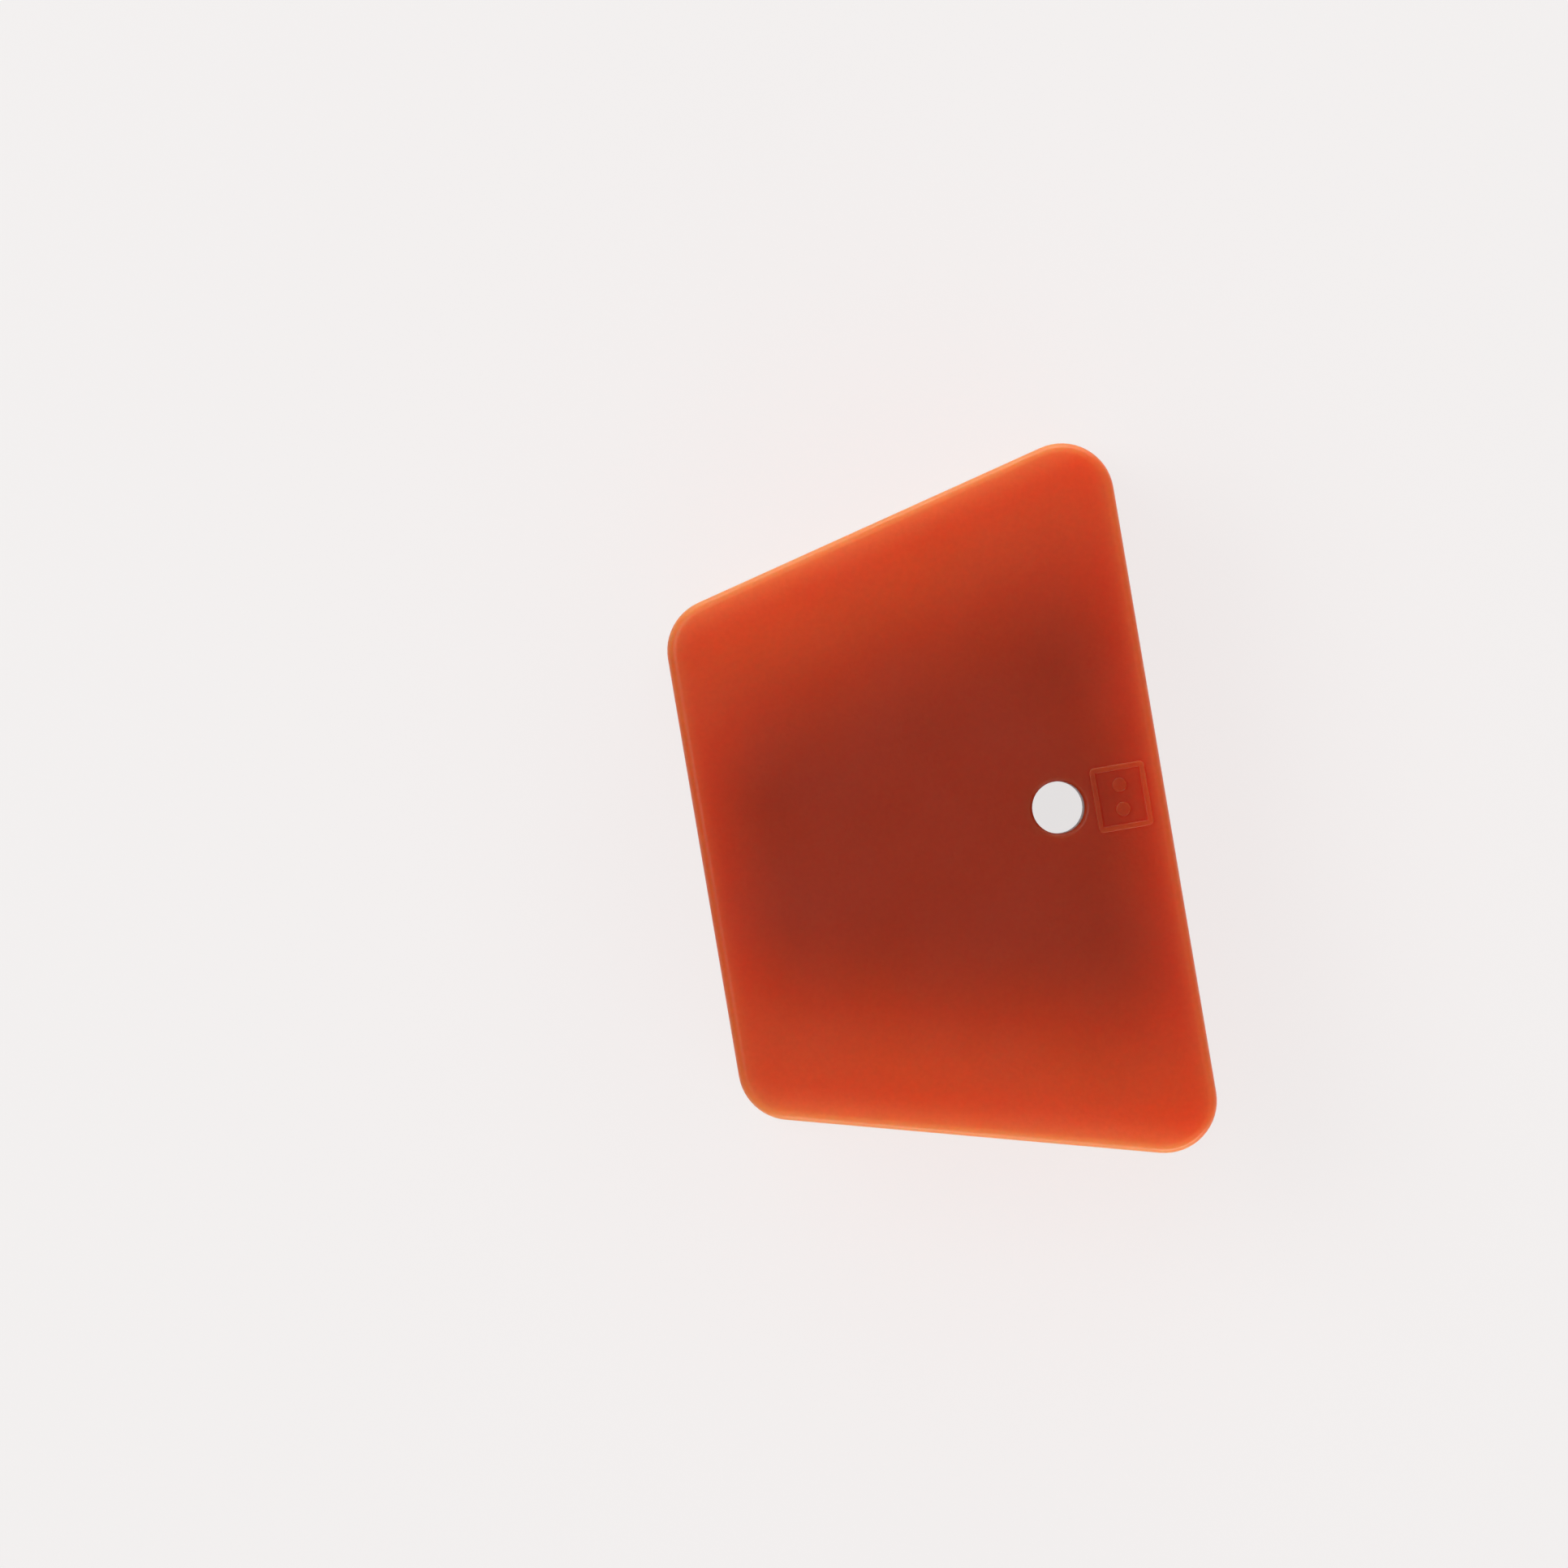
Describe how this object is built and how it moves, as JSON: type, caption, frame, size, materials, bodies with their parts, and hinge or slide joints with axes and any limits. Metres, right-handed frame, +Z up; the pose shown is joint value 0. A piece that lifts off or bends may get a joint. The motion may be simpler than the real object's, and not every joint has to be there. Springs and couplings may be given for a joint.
{
  "type": "dental bite block",
  "caption": "Moulded silicone wedge that props the jaws apart, with ribbed troughs for the teeth, a tether hole near its tall end and a raised size mark.",
  "frame": {"origin": "middle of the plain flat side that the block lies on, at the bottom centre of its box", "axes": "+X from the short end to the tall end, +Y across to one biting face, +Z up to the flat side with the size mark"},
  "size_m": [0.0286, 0.044, 0.0192],
  "materials": {
    "silicone": "satin, slightly translucent"
  },
  "bodies": {
    "root": {"bite_block": "silicone"}
  },
  "joints": []
}
